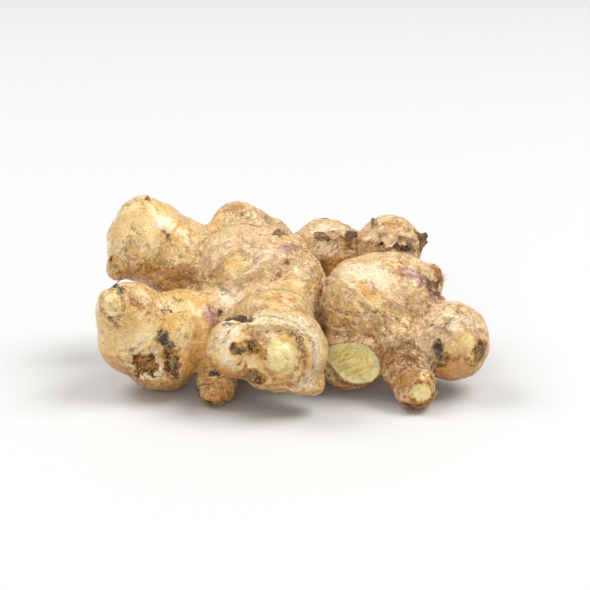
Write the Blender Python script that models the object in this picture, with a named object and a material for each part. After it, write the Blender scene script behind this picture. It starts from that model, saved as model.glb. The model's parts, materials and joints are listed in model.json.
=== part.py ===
"""A ginger rhizome, one solid: knuckles that grew out of each other, with one knife cut.

Metres, +Z up. The rhizome lies on z = 0 with its long side along X, and the origin is on the
surface under the middle of its box. It is built as it grew: each knuckle is a stretched ball
that overlaps its neighbours, the balls are fused into one skin, and the skin is then softened,
roughened, cut, thinned to plain facets and set down on the points that it rests on.
"""

import math
from collections import namedtuple

import bmesh
import bpy
from mathutils import Euler, Matrix, Vector, noise

MM = 0.001

# The skin: the grain that the balls are fused at, how far it is softened and lumped.
SKIN_VOXEL = 1.0 * MM
SOFTEN_STEPS = 6
LUMP_SIZE = 16.0 * MM
LUMP_HEIGHT = 0.9 * MM
SKIN_TRIANGLES = 7000

# How far the lowest knuckles are pressed flat, and how near to level their facets then are.
FOOT_PRESS = 1.0 * MM
LEVEL_WITHIN = 0.1 * MM

# A knuckle: its middle and half-sizes in millimetres, and its turn about X, Y and Z in degrees.
Knuckle = namedtuple("Knuckle", "middle half turn")

MOTHER_PIECE = [
    Knuckle((-20, 3, 38), (18, 18, 19), (0, 0, 0)),
    Knuckle((-11, 2, 36), (18, 20, 20), (0, 12, 0)),
    Knuckle((0.5, -2, 33), (11.5, 15.5, 15), (0, 0, 0)),
    Knuckle((-4, 2, 22), (30, 17, 12), (0, 0, 0)),
    Knuckle((24, -8, 27), (14.5, 20, 20.5), (0, 0, 0)),
    Knuckle((30, -6, 30), (17, 19.5, 18.5), (0, 0, 0)),
    Knuckle((37, -4, 30.5), (18, 19, 17.5), (0, 0, 0)),
    Knuckle((28, 4, 22), (22, 16, 12), (0, 0, 0)),
]
UPPER_LEFT_FINGER = [
    Knuckle((-55.5, 12, 48), (16.5, 16, 16), (0, 0, 0)),
    Knuckle((-57, 11, 53), (11.5, 10.5, 13.2), (0, 0, 0)),
    Knuckle((-44.5, 12, 41), (17, 17, 16.5), (0, 0, 0)),
    Knuckle((-33, 8, 37), (15, 15, 14.5), (0, 0, 0)),
]
UPPER_LEFT_BUD = [
    Knuckle((-66.5, 4, 40.5), (5, 5, 5), (0, 0, 0)),
]
FRONT_LEFT_FINGER = [
    Knuckle((-60, -21, 30), (13.5, 12, 12.5), (0, 0, 0)),
    Knuckle((-57.5, -20, 22), (15, 14, 16), (0, 20, 0)),
    Knuckle((-49, -17, 18.5), (18, 18, 18.5), (0, 0, 0)),
    Knuckle((-42, -16, 22), (16, 16, 16), (0, 0, 0)),
    Knuckle((-28, -12, 24), (14, 13, 14), (0, 0, 0)),
    Knuckle((-20, -12, 28), (10, 10, 10), (0, 0, 0)),
]
FRONT_LEFT_BUD = [
    Knuckle((-66, -28, 38), (4.5, 4.5, 5.5), (0, -25, 0)),
]
FRONT_STUMP = [
    Knuckle((-5.5, -39, 24), (17.5, 10.5, 15.5), (0, 0, 0)),
    Knuckle((-18.5, -38.5, 24.5), (13.5, 9.5, 11.5), (0, 0, 0)),
    Knuckle((-8, -18, 27), (16, 20, 15), (0, 0, 0)),
]
FRONT_STUMP_BUDS = [
    Knuckle((-4.5, -47, 23.5), (6.5, 4, 7), (0, 0, 0)),
    Knuckle((3.5, -40, 13.5), (8, 6.5, 5.5), (0, 30, 0)),
]
SMALL_FOOT = [
    Knuckle((-28.5, -32, 8), (7.5, 7.5, 8.5), (0, 0, 0)),
    Knuckle((-28, -26, 14), (8, 8, 8), (0, 0, 0)),
]
BACK_FINGER = [
    Knuckle((-21, 20, 48.5), (12.7, 12.7, 12.7), (0, 0, 0)),
    Knuckle((-12, 18, 44), (12.3, 12.3, 12.3), (0, 0, 0)),
]
BACK_FEET = [
    Knuckle((-12, 24, 22), (17, 15, 18), (0, 0, 0)),
    Knuckle((-19, 33, 13.5), (13, 12, 13.5), (0, 0, 0)),
    Knuckle((22, 18, 22), (17, 15, 17), (0, 0, 0)),
    Knuckle((30, 28, 13), (12.5, 13.5, 13), (0, 0, 0)),
]
BACK_BUDS = [
    Knuckle((12.5, 22, 42.5), (13.5, 12, 11), (0, 0, 0)),
    Knuckle((36.5, 22, 42.5), (13, 12.5, 12.5), (0, 0, 0)),
]
BROKEN_STUB = [
    Knuckle((49.5, 4, 34), (6.5, 7, 8), (0, 0, 0)),
]
RIGHT_KNOB = [
    Knuckle((57.5, -20, 20), (14.3, 13.5, 15), (0, 0, 0)),
    Knuckle((46, -12, 24), (12, 12, 12), (0, 0, 0)),
]
CUT_BRANCH = [
    Knuckle((20.5, -20, 13.8), (12.5, 14.5, 12), (0, 0, -10)),
]
FRONT_TOE = [
    Knuckle((37.5, -24, 20), (9, 9.5, 9.5), (0, 0, 0)),
    Knuckle((40, -30, 13.5), (9, 9, 9.2), (0, 0, 0)),
    Knuckle((43.5, -36, 8), (8, 8, 8.2), (0, 0, 0)),
]
RHIZOME = (
    MOTHER_PIECE
    + UPPER_LEFT_FINGER
    + UPPER_LEFT_BUD
    + FRONT_LEFT_FINGER
    + FRONT_LEFT_BUD
    + FRONT_STUMP
    + FRONT_STUMP_BUDS
    + SMALL_FOOT
    + BACK_FINGER
    + BACK_FEET
    + BACK_BUDS
    + BROKEN_STUB
    + RIGHT_KNOB
    + CUT_BRANCH
    + FRONT_TOE
)

# A flat face: a point on it, the way it faces, and how far from the point it can reach.
Face = namedtuple("Face", "point facing reach")

# The knife cut through the short front branch, and the old end of the front toe.
FLAT_FACES = [
    Face((20, -29, 13.5), (-0.2, -0.97, -0.12), 10.5),
    Face((46.5, -43, 8.5), (0.3, -0.95, 0.0), 9),
]

# The dry skin over the whole rhizome.
SKIN_COLOUR = (0.47, 0.33, 0.17)
SKIN_ROUGHNESS = 0.6


def clear_scene():
    for old in list(bpy.data.objects):
        bpy.data.objects.remove(old)


def knuckle_matrix(knuckle):
    turn = Euler([math.radians(a) for a in knuckle.turn]).to_matrix().to_4x4()
    size = Matrix.Diagonal((*[r * MM for r in knuckle.half], 1.0))
    return Matrix.Translation(Vector(knuckle.middle) * MM) @ turn @ size


def balls():
    """One mesh that holds every knuckle as its own closed ball."""
    bm = bmesh.new()
    for knuckle in RHIZOME:
        bmesh.ops.create_icosphere(bm, subdivisions=4, radius=1.0, matrix=knuckle_matrix(knuckle))
    mesh = bpy.data.meshes.new("rhizome")
    bm.to_mesh(mesh)
    bm.free()
    return mesh


def apply_modifiers(obj):
    graph = bpy.context.evaluated_depsgraph_get()
    mesh = bpy.data.meshes.new_from_object(obj.evaluated_get(graph))
    obj.modifiers.clear()
    obj.data = mesh


def fuse(obj):
    """Fuse the balls into one closed skin and soften the creases between them."""
    remesh = obj.modifiers.new("fuse", "REMESH")
    remesh.mode = "VOXEL"
    remesh.voxel_size = SKIN_VOXEL
    soften = obj.modifiers.new("soften", "SMOOTH")
    soften.iterations = SOFTEN_STEPS
    apply_modifiers(obj)


def roughen(mesh):
    """Low lumps all over, because no knuckle is a true ball."""
    outwards = [vertex.normal.copy() for vertex in mesh.vertices]
    for vertex, normal in zip(mesh.vertices, outwards):
        lump = noise.noise(vertex.co / LUMP_SIZE)
        vertex.co += normal * lump * LUMP_HEIGHT


def slice_off(mesh, face):
    """Bring what stands out past a flat face back onto it."""
    point = Vector(face.point) * MM
    facing = Vector(face.facing).normalized()
    for vertex in mesh.vertices:
        offset = vertex.co - point
        height = offset.dot(facing)
        if height > 0 and offset.length < face.reach * MM:
            vertex.co -= facing * height


def thin_out(obj):
    """Bring the skin down to the plain facets that a solid of this size needs."""
    triangles = sum(len(face.vertices) - 2 for face in obj.data.polygons)
    decimate = obj.modifiers.new("thin out", "DECIMATE")
    decimate.ratio = SKIN_TRIANGLES / triangles
    decimate.use_collapse_triangulate = True
    apply_modifiers(obj)


def press_feet(mesh):
    """Flatten the lowest points, as if on the surface that the rhizome lies on."""
    ground = min(vertex.co.z for vertex in mesh.vertices) + FOOT_PRESS
    for vertex in mesh.vertices:
        vertex.co.z = max(vertex.co.z, ground)


def set_down(mesh):
    """Centre the rhizome over the origin with its feet level on z = 0."""
    spans = [[vertex.co[axis] for vertex in mesh.vertices] for axis in range(3)]
    low = Vector([min(span) for span in spans])
    middle = (low + Vector([max(span) for span in spans])) / 2
    shift = Vector((-middle.x, -middle.y, -low.z))
    for vertex in mesh.vertices:
        vertex.co += shift
        if vertex.co.z < LEVEL_WITHIN:
            vertex.co.z = 0.0


def skin_material():
    skin = bpy.data.materials.new("ginger skin")
    skin.use_nodes = True
    shader = skin.node_tree.nodes["Principled BSDF"]
    shader.inputs["Base Color"].default_value = (*SKIN_COLOUR, 1.0)
    shader.inputs["Roughness"].default_value = SKIN_ROUGHNESS
    shader.inputs["Metallic"].default_value = 0.0
    return skin


def build():
    clear_scene()
    rhizome = bpy.data.objects.new("rhizome", balls())
    bpy.context.scene.collection.objects.link(rhizome)
    fuse(rhizome)
    roughen(rhizome.data)
    for face in FLAT_FACES:
        slice_off(rhizome.data, face)
    press_feet(rhizome.data)
    thin_out(rhizome)
    set_down(rhizome.data)
    rhizome.data.name = "rhizome"
    rhizome.data.materials.append(skin_material())
    rhizome.data.shade_smooth()


build()
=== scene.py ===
# %% [markdown]
# # A hand of ginger
# A ginger "root" is a rhizome: a swollen underground stem. It grows in knuckles, each one a bud
# of the one before, so the whole hand is one piece of flesh in one thin skin. What makes it look
# like ginger is that skin: cream and waxy where it is young, tan and papery where it has dried,
# ringed by the scars of old scale leaves, and scabbed where stems and neighbours broke off.
#
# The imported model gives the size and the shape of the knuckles. This file takes a copy of it,
# gives it a mesh fine enough to carve, carves the rings, scars, buds and the cut into it,
# stores where each finish belongs as values on the mesh, and paints by those values.

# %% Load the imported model
import json
import math
from collections import namedtuple

import bpy
import numpy as np
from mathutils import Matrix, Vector, noise
from mathutils.bvhtree import BVHTree

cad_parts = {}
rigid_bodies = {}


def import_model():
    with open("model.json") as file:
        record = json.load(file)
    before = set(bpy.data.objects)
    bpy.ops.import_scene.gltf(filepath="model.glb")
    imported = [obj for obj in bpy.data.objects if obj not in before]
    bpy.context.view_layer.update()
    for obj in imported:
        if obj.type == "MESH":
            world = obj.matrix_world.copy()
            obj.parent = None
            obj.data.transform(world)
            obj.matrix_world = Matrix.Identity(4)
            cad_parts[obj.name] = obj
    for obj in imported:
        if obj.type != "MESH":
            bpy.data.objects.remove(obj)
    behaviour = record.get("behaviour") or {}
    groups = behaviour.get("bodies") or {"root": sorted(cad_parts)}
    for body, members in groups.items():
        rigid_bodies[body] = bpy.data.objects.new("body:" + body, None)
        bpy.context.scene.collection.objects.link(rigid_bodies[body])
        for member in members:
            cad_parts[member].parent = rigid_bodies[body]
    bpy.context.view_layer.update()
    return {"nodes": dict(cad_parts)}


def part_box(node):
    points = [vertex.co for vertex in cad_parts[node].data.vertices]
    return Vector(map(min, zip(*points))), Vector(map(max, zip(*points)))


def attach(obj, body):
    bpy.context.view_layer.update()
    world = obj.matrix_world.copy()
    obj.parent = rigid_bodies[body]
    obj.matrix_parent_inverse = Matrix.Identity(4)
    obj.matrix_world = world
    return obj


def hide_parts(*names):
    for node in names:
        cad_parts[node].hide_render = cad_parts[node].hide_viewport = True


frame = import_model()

MM = 0.001
LOW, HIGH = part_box("rhizome")
print("rhizome from", tuple(LOW), "to", tuple(HIGH))

# %% [markdown]
# ## A skin that is fine enough to carve
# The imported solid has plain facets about 3 mm wide. A ring scar is a tenth of that. A voxel
# remesh rebuilds the skin from even squares three quarters of a millimetre wide, which is
# enough for every fold that shows, and a smooth modifier then takes the facets away. Sculpting
# by hand would start the same way.

# %% Copy and remesh the skin
SKIN_VOXEL = 0.74 * MM
FACET_SMOOTHING = 13


def select_only(obj):
    for other in bpy.context.view_layer.objects:
        other.select_set(False)
    obj.select_set(True)
    bpy.context.view_layer.objects.active = obj


def apply_modifier(obj, kind, **settings):
    select_only(obj)
    modifier = obj.modifiers.new(kind.lower(), kind)
    for name, value in settings.items():
        setattr(modifier, name, value)
    bpy.ops.object.modifier_apply(modifier=modifier.name)


skin = bpy.data.objects.new("ginger_skin", frame["nodes"]["rhizome"].data.copy())
bpy.context.scene.collection.objects.link(skin)
select_only(skin)
bpy.ops.object.mode_set(mode="EDIT")
bpy.ops.mesh.select_all(action="SELECT")
bpy.ops.mesh.remove_doubles(threshold=0.01 * MM)
bpy.ops.object.mode_set(mode="OBJECT")
apply_modifier(skin, "REMESH", mode="VOXEL", voxel_size=SKIN_VOXEL)
apply_modifier(skin, "SMOOTH", iterations=FACET_SMOOTHING)
print("skin:", len(skin.data.vertices), "points,", len(skin.data.polygons), "faces")

# %% [markdown]
# ## Working on all points at once
# The carving is a sum of small moves along the skin's own outward direction. With close to a
# hundred thousand points that is only quick as array arithmetic, so the points, their
# directions and their neighbours are read into arrays once. `blurred` shares each value with
# its neighbours, as a smooth brush does.

# %% Read the skin into arrays
def read(collection, attribute, width):
    values = np.empty(len(collection) * width, np.float32)
    collection.foreach_get(attribute, values)
    return values.reshape(-1, width).astype(float)


points = read(skin.data.vertices, "co", 3) / MM
outwards = read(skin.data.vertex_normals, "vector", 3)
edge_ends = np.empty(len(skin.data.edges) * 2, np.int32)
skin.data.edges.foreach_get("vertices", edge_ends)
edge_ends = edge_ends.reshape(-1, 2)
neighbours = np.bincount(edge_ends.ravel(), minlength=len(points))


def blurred(values, rounds):
    """Each value shared with its neighbours this many times. Works on one number or three."""
    values = np.array(values, float).reshape(len(points), -1)
    for _ in range(rounds):
        total = np.zeros_like(values)
        for column in range(values.shape[1]):
            for a, b in ((0, 1), (1, 0)):
                total[:, column] += np.bincount(
                    edge_ends[:, a], values[edge_ends[:, b], column], len(points)
                )
        values = 0.5 * values + 0.5 * total / neighbours[:, None]
    return values if values.shape[1] > 1 else values[:, 0]


def step(value, start, end):
    """0 at start, 1 at end, smooth between."""
    share = np.clip((value - start) / (end - start), 0.0, 1.0)
    return share * share * (3.0 - 2.0 * share)


# A lumpy noise is read at places that a wider noise has pushed about, so that no edge in it
# runs straight. Both sizes count in lumps. The seed gives every run the same push.
PUSH = 0.9
PUSH_SIZE = 1.3
noise.seed_set(5)


def grain(size, seed=0, detail=1):
    """Soft noise from about -1 to 1, with lumps of this size in millimetres."""
    shift = Vector((17.3, 5.1, 9.7)) * seed
    if detail == 1:
        return np.array([noise.noise(Vector(p) / size + shift) for p in points])
    values = []
    for p in points:
        pushed = Vector(p) / size + shift
        pushed += PUSH * noise.noise_vector(pushed / PUSH_SIZE)
        values.append(noise.fractal(pushed, 0.6, 2.0, detail))
    return np.array(values)


tree = BVHTree.FromPolygons(
    [Vector(p) for p in points], [face.vertices[:] for face in skin.data.polygons]
)
print("arrays ready:", points.shape, "edges", len(edge_ends))

# %% [markdown]
# ## The knuckles
# Every mark on the skin is placed from the knuckle it sits on: a straight line leaves the
# middle of the knuckle in some direction, and the mark is where it comes out. Directions are
# in degrees: 0 across is the front, 90 the right side, -90 the left and 180 the back, and the
# second angle is how far it points up. The middles are shares of the model's box, so the marks
# stay on their knuckles if the model is made larger or smaller.

# %% Name the knuckles
# A knuckle: its middle as shares of the box, its rough radius in millimetres, and how dry and
# brown its skin is, from 0 for young and waxy to 1 for old and papery.
Knuckle = namedtuple("Knuckle", "share radius dryness")
KNUCKLES = {
    "upper left finger": Knuckle((0.14, 0.66, 0.71), 17, 0.10),
    "front left finger": Knuckle((0.15, 0.34, 0.33), 18, 0.08),
    "neck": Knuckle((0.31, 0.41, 0.37), 13, 0.18),
    "small foot": Knuckle((0.31, 0.20, 0.12), 8, 0.45),
    "front stump": Knuckle((0.46, 0.15, 0.36), 15.5, 0.28),
    "left mother piece": Knuckle((0.41, 0.55, 0.56), 19.5, 0.34),
    "back finger": Knuckle((0.37, 0.74, 0.73), 13, 0.28),
    "right mother piece": Knuckle((0.69, 0.48, 0.45), 19.5, 0.30),
    "left back knob": Knuckle((0.58, 0.76, 0.64), 12.5, 0.30),
    "right back knob": Knuckle((0.755, 0.76, 0.64), 12.5, 0.42),
    "broken stub": Knuckle((0.845, 0.57, 0.51), 7, 0.75),
    "right knob": Knuckle((0.90, 0.32, 0.30), 14, 0.55),
    "front toe": Knuckle((0.80, 0.18, 0.16), 9, 0.55),
    "cut branch": Knuckle((0.645, 0.32, 0.20), 11.5, 0.50),
    "left back foot": Knuckle((0.37, 0.85, 0.22), 13, 0.40),
    "right back foot": Knuckle((0.71, 0.80, 0.20), 13, 0.50),
}
BOX_SIZE = HIGH - LOW


def middle(knuckle):
    share = KNUCKLES[knuckle].share
    return np.array([LOW[axis] + share[axis] * BOX_SIZE[axis] for axis in range(3)]) / MM


knuckle_names = list(KNUCKLES)
nearness = np.stack(
    [
        np.linalg.norm(points - middle(name), axis=1) / KNUCKLES[name].radius
        for name in knuckle_names
    ]
)


def belonging(names):
    """1 on the skin of these knuckles, 0 on the others, with a soft seam between."""
    own = np.isin(knuckle_names, names)
    return step(nearness[~own].min(axis=0) - nearness[own].min(axis=0), -0.03, 0.09)


for name in knuckle_names:
    print(name, "middle", middle(name).round(1), "points", int(belonging([name]).sum()))

# %% Find a spot on the skin
Spot = namedtuple("Spot", "point across up out")
FACING_REACH = 2.5


def spot(knuckle, azimuth, elevation, turn=0.0):
    """Where a line from the knuckle's middle comes out, and the directions along the skin.
    The skin's facing there is the average within a few millimetres."""
    a, e, t = math.radians(azimuth), math.radians(elevation), math.radians(turn)
    direction = Vector((math.sin(a) * math.cos(e), -math.cos(a) * math.cos(e), math.sin(e)))
    point = tree.ray_cast(Vector(middle(knuckle)), direction)[0]
    near = np.linalg.norm(points - np.array(point), axis=1) < FACING_REACH
    out = Vector(outwards[near].mean(axis=0)).normalized()
    across = (out.cross(Vector((0, 0, 1))) * -1.0).normalized()
    up = out.cross(across).normalized()
    turned = across * math.cos(t) + up * math.sin(t)
    return Spot(np.array(point), np.array(turned), np.array(out.cross(turned)), np.array(out))


def around(place, wide, tall, deep=None):
    """The distance from a spot, counted so that it is 1 at these half-sizes in millimetres."""
    offset = points - place.point
    deep = deep or 1.2 * max(wide, tall)
    return np.sqrt(
        (offset @ place.across / wide) ** 2
        + (offset @ place.up / tall) ** 2
        + (offset @ place.out / deep) ** 2
    )


test_spot = spot("front stump", 5, 0)
print("the front stump's end is at", test_spot.point.round(1), "facing", test_spot.out.round(2))

# %% [markdown]
# ## Layers
# Each finish gets a layer: one number for every point of the skin, 0 where it is absent. The
# material reads them as attributes, and breaks their soft edges up with noise much finer than
# the mesh, so that a scab can end in crumbs although its layer ends in a blur.

# %% Start the layers
# film: thickness of the dry film. pale: cream skin, and painted highlights on tops and lips. stain:
# brown water stain. pink: flush.
# flesh: bare yellow flesh. The layer for faces turned down: painted shade there, and the gold of bare
# patches. The layer for hollows: painted shade in them. cut: the knife's face.
LAYERS = (
    "film", "pale", "stain", "pink", "flesh", "dirt", "scab", "soot", "under", "hollow_shade", "cut",
)
layer = {name: np.zeros(len(points)) for name in LAYERS}
carve = np.zeros(len(points))
ragged = grain(3.2, seed=1, detail=4)
crumbs = grain(1.6, seed=2, detail=2)
swells = grain(8.0, seed=3)

closeness = np.exp(-nearness * 14.0)
closeness /= closeness.sum(axis=0)
dryness = closeness.T @ np.array([KNUCKLES[name].dryness for name in knuckle_names])
layer["film"] = dryness + 0.30 * swells
layer["dirt"] = 0.30 * dryness + 0.45 * grain(6.0, seed=9) - 0.10
print("dryness from", dryness.min().round(2), "to", dryness.max().round(2))

# %% [markdown]
# ## Leaf scars
# A scale leaf wraps each young knuckle like a collar, and leaves a thin raised ring when it
# dries off. On a grown finger the rings circle its tip, further apart the further back they
# are. So each set is carved by distance from a tip: the skin steps down by a few tenths of a
# millimetre at each ring, and the lip of the step stands up a little. The distance wanders with
# noise, because no ring is a true circle, and each ring fades in and out on its way round.

# %% Carve the leaf scars
# A set of rings: the knuckle and direction of the tip, the stretch across and up, the distances
# of the rings from the tip in millimetres, the knuckles that they lie on, and their strength.
Rings = namedtuple("Rings", "knuckle azimuth elevation stretch distances on strength")
RING_SETS = [
    Rings("upper left finger", -75, 10, (1, 1), (7, 22, 38), ["upper left finger"], 0.5),
    Rings(
        "front left finger", -45, 45, (1, 1), (19, 39, 45),
        ["front left finger", "neck"], 0.5,
    ),
    Rings("small foot", -10, -25, (1, 1), (3.5, 6, 9, 12, 15), ["small foot"], 1.0),
    Rings("front stump", -5, 0, (1.2, 1.0), (23, 27), ["front stump"], 0.6),
    Rings("front stump", 5, 10, (1.1, 1), (31, 44), ["left mother piece"], 0.3),
    Rings("back finger", -20, 80, (1, 1), (6, 17, 23), ["back finger"], 0.5),
    Rings(
        "cut branch", 0, 15, (1, 1), (12.5, 15, 17.8),
        ["cut branch", "right mother piece"], 0.6,
    ),
    Rings("left back knob", 20, 85, (1, 1), (6, 11, 13, 15, 16.5, 18), ["left back knob"], 0.8),
    Rings("right back knob", 30, 60, (1, 1), (6, 11, 15, 18, 21), ["right back knob"], 0.8),
    Rings("broken stub", 60, 30, (1, 1), (3, 6, 9, 12), ["broken stub"], 0.9),
    Rings("right knob", 40, 0, (1, 1), (14, 20, 23, 25, 28), ["right knob"], 0.7),
    Rings("front toe", 5, -15, (1, 1), (5, 8, 11, 15, 19, 23), ["front toe"], 0.9),
    Rings("left back foot", 170, -25, (1, 1), (5, 10, 16, 23, 30), ["left back foot"], 0.8),
    Rings("right back foot", 160, -25, (1, 1), (5, 9, 15, 21, 28), ["right back foot"], 0.8),
]
RING_STEP = 0.30
RING_LIP = 0.26
RING_LIP_WIDTH = 0.6
FAR = 9.0

wander = 2.2 * grain(14.0, seed=4) + 0.9 * grain(4.5, seed=5)
line_distance = np.full(len(points), FAR)
line_strength = np.zeros(len(points))
along = np.zeros(len(points))
patchy = step(grain(7.0, seed=6), -0.30, 0.20)

for rings in RING_SETS:
    tip = spot(rings.knuckle, rings.azimuth, rings.elevation)
    here = belonging(rings.on)
    from_tip = around(tip, *rings.stretch, 1.0) + wander
    along = np.where(here > 0.5, from_tip, along)
    for ring in rings.distances:
        past = from_tip - ring
        strength = rings.strength * here * patchy
        carve += strength * RING_LIP * np.exp(-((past / RING_LIP_WIDTH) ** 2))
        carve -= strength * RING_STEP * (step(past, -0.2, 1.0) - step(past, 1.0, 5.0))
        closer = (np.abs(past) < np.abs(line_distance)) & (strength > 0.15)
        line_distance = np.where(closer, past, line_distance)
        line_strength = np.where(closer, strength, line_strength)
print("rings:", sum(len(rings.distances) for rings in RING_SETS))

# %% [markdown]
# ## Folds with a shape of their own
# Where two knuckles press on each other, and round the old broken end, the skin lies in folds
# that are no circles. Each is drawn as a chain of spots on its knuckle. A point's distance is
# measured sideways along the skin, with a sign, so that one side of the fold can stand up as a
# lip over a groove. A depth below zero puts the lip on the other side.

# %% Carve the folds
Fold = namedtuple("Fold", "knuckle bends depth width", defaults=(0.5, 0.9))
FOLDS = [
    # The fan of folds that runs down the right mother piece to the cut.
    Fold("right mother piece", [(-70, 38), (-38, 41), (-8, 27), (11, 4), (18, -12)], 0.9),
    Fold("right mother piece", [(-58, 26), (-34, 26), (-11, 17), (5, -7)], 0.6),
    Fold("right mother piece", [(-53, 7), (-18, 5), (-4, -15)], 1.0),
    Fold("right mother piece", [(-55, -11), (-22, -7), (-14, -18)], 0.8),
    # The edge and the steps of the left mother piece.
    Fold("left mother piece", [(112, 48), (90, 32), (82, 19), (70, 6), (61, -3), (55, -17)], -0.9),
    Fold("left mother piece", [(-1, 7), (8, 11), (24, 18), (38, 22)], 0.8),
    Fold("left mother piece", [(-56, 45), (-44, 55), (-25, 64), (-5, 69), (51, 66)], 0.6),
    Fold("left mother piece", [(176, 49), (147, 46), (100, 60), (71, 47)], 0.35),
    Fold("left mother piece", [(-27, 20), (0, 27), (22, 33), (37, 40)], 0.25),
    # Faint lines on the upper left finger.
    Fold("upper left finger", [(67, 40), (28, 25), (11, 13), (-10, 2)], 0.22),
    Fold("upper left finger", [(-18, 22), (-34, 8), (-44, -1)], 0.25),
    Fold("upper left finger", [(-56, 18), (-57, 2)], 0.30),
    # Round the bud of the front left finger, and down to the neck.
    Fold("front left finger", [(-66, 58), (-27, 57), (-20, 47), (-29, 38), (-49, 30)], 0.40),
    Fold("front left finger", [(-7, 60), (-2, 50), (-12, 40)], 0.30),
    # The rolled rims of the old broken end, from the outer one in.
    Fold("front stump", [(-79, 17), (-88, 45), (-48, 82), (79, 59), (71, 29), (64, 7)], 0.5, 0.7),
    Fold(
        "front stump",
        [(-65, 13), (-75, 41), (-14, 66), (47, 46), (53, 20), (52, -8), (49, -29), (34, -52)],
        -0.45, 0.7,
    ),
    Fold("front stump", [(-61, 38), (-3, 53), (36, 30), (37, -5), (22, -42)], -0.4, 0.6),
    # The wrinkled skin of the right knob and the toe beneath it.
    Fold("right knob", [(-53, 32), (-35, 50), (1, 40)], 0.8, 1.1),
    Fold("right knob", [(-64, 55), (-47, 69), (0, 59), (40, 50)], 0.6),
    Fold("right knob", [(-45, -20), (-30, -25), (-16, -22)], 0.5),
    Fold("front toe", [(-108, 50), (-114, 65), (-138, 77)], 0.6),
    Fold("front toe", [(-87, 36), (-85, 67), (52, 79)], 0.7),
    Fold("front toe", [(-60, 14), (-21, 53), (71, 25)], 0.7),
]
# A fold's lip and groove, as shares of its depth and width, and what it adds to two layers: dirt
# along it, and pale on the lip as a painted highlight.
LIP_AT = 0.8
GROOVE_DEPTH, GROOVE_AT, GROOVE_WIDTH = 0.9, -0.3, 0.55
FOLD_DIRT, FOLD_LIP_HIGHLIGHT = 0.16, 0.7
FOLD_REACH = 5.0
fold_wander = 0.9 * grain(5.0, seed=10) + 0.35 * grain(2.0, seed=11)

for fold in FOLDS:
    bends = [spot(fold.knuckle, *bend) for bend in fold.bends]
    nearest = np.full(len(points), FAR)
    for start, end in zip(bends, bends[1:]):
        run = end.point - start.point
        side = np.cross(run, start.out + end.out)
        side /= np.linalg.norm(side)
        share = ((points - start.point) @ run) / (run @ run)
        off = points - start.point - np.clip(share, 0.0, 1.0)[:, None] * run
        sideways = off @ side
        beyond = np.maximum(np.abs(share - 0.5) - 0.5, 0.0) * np.linalg.norm(run)
        from_run = np.sign(sideways) * np.hypot(sideways, beyond)
        on_this_side = (np.linalg.norm(off, axis=1) < FOLD_REACH) & (outwards @ start.out > -0.2)
        closer = on_this_side & (np.abs(from_run) < np.abs(nearest))
        nearest = np.where(closer, from_run, nearest)
    past = nearest + np.where(np.abs(nearest) < FAR, fold_wander, 0.0)
    past *= math.copysign(1, fold.depth)
    depth = abs(fold.depth)
    carve += depth * np.exp(-(((past - LIP_AT * fold.width) / fold.width) ** 2))
    groove = np.exp(-(((past - GROOVE_AT) / (GROOVE_WIDTH * fold.width)) ** 2))
    carve -= GROOVE_DEPTH * depth * groove
    strength = min(1.0, 0.15 + 0.6 * depth)
    closer = np.abs(past) < np.abs(line_distance)
    line_distance = np.where(closer, past, line_distance)
    line_strength = np.where(closer, strength, line_strength)
    layer["dirt"] += FOLD_DIRT * depth * np.exp(-((past / 1.5) ** 2))
    # Pale on the lip of the fold: a painted highlight.
    layer["pale"] += FOLD_LIP_HIGHLIGHT * depth * np.exp(-((past - fold.width) ** 2))
    print(fold.knuckle, "fold:", int((np.abs(past) < 0.5).sum()), "points")
print("folds:", len(FOLDS))

# %% [markdown]
# ## Scars, scabs, buds and bare patches
# These are what a cook trims off. A scab is a dry crust where a stem broke away; a crater is an
# old one that has sunk and cracked inside a raised lip; soot stands for the grey and black
# remains of rotted scale leaves; a bud is a pale dome sunk in folded skin. The thin dry film on
# the skin is missing on bare patches, where the gold of the flesh shines through, and on torn
# ones, which end in a crisp edge. It is thickest on papery ones. Some skin is flushed pink, and
# dirt sits in specks.

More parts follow.
